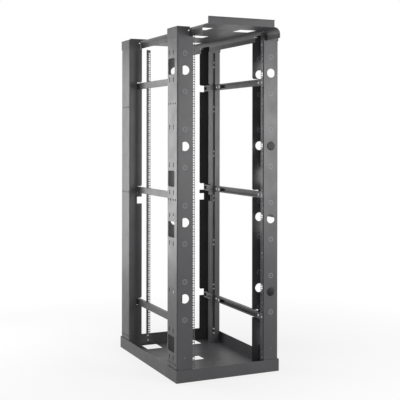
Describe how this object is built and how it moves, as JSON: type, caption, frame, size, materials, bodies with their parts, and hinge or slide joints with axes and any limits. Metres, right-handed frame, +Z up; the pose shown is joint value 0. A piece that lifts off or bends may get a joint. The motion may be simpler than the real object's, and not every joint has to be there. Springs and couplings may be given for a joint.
{
  "type": "four post open frame server rack",
  "caption": "Tall open frame rack with four folded channel posts, square-hole mounting rails, side struts, a tray base and a long cable pan across the top.",
  "frame": {"origin": "centre of the base pan's underside, on the floor", "axes": "+Z up along the posts, +Y from the rack's front to its rear, +X to its right seen from the front"},
  "size_m": [0.696, 1.393, 2.182],
  "materials": {
    "base_coat": "semi-gloss black powder coat",
    "post_coat": "semi-gloss black powder coat",
    "rail_coat": "semi-gloss black powder coat",
    "bracket_coat": "semi-gloss black powder coat",
    "top_coat": "semi-gloss black powder coat"
  },
  "bodies": {
    "root": {"base_pan": "base_coat", "front_left_cap": "top_coat", "front_left_clips": "bracket_coat", "front_left_lower_plate": "bracket_coat", "front_left_middle_plate": "bracket_coat", "front_left_post": "post_coat", "front_left_rail": "rail_coat", "front_left_upper_plate": "bracket_coat", "front_right_cap": "top_coat", "front_right_clips": "bracket_coat", "front_right_lower_plate": "bracket_coat", "front_right_middle_plate": "bracket_coat", "front_right_post": "post_coat", "front_right_rail": "rail_coat", "front_right_upper_plate": "bracket_coat", "left_lower_strut": "bracket_coat", "left_middle_strut": "bracket_coat", "left_upper_strut": "bracket_coat", "rear_left_cap": "top_coat", "rear_left_lower_plate": "bracket_coat", "rear_left_middle_plate": "bracket_coat", "rear_left_post": "post_coat", "rear_left_rail": "rail_coat", "rear_left_upper_plate": "bracket_coat", "rear_right_cap": "top_coat", "rear_right_lower_plate": "bracket_coat", "rear_right_middle_plate": "bracket_coat", "rear_right_post": "post_coat", "rear_right_rail": "rail_coat", "rear_right_upper_plate": "bracket_coat", "right_lower_strut": "bracket_coat", "right_middle_strut": "bracket_coat", "right_upper_strut": "bracket_coat", "top_pan": "top_coat"}
  },
  "joints": []
}
